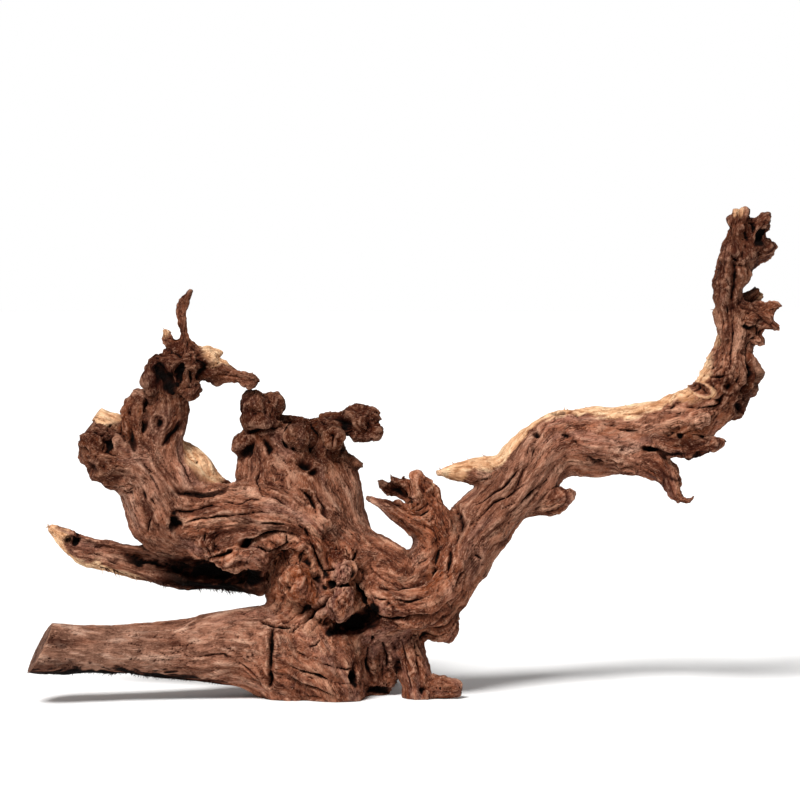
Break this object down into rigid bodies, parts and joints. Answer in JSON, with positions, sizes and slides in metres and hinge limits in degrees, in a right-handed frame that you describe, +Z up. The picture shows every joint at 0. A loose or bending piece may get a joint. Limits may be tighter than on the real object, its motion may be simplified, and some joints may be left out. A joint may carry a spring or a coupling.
{
  "type": "aquarium driftwood",
  "caption": "Weathered root for an aquarium: a sawn log, a split hollow branch, a burled crown, a broad stump and a long limb ending in a forked mast, sawn flat underneath",
  "frame": {"origin": "on the flat sawn underside, under the body, at the height of the surface that the piece lies on", "axes": "+X along the length, from the sawn log to the forked mast; +Y to the back; +Z up; the side in the picture looks along -Y"},
  "size_m": [0.5602, 0.1514, 0.3702],
  "materials": {
    "wood": "weathered bare wood, matt, reddish brown with dark cracks and pale split edges"
  },
  "bodies": {
    "root": {"driftwood": "wood"}
  },
  "joints": []
}
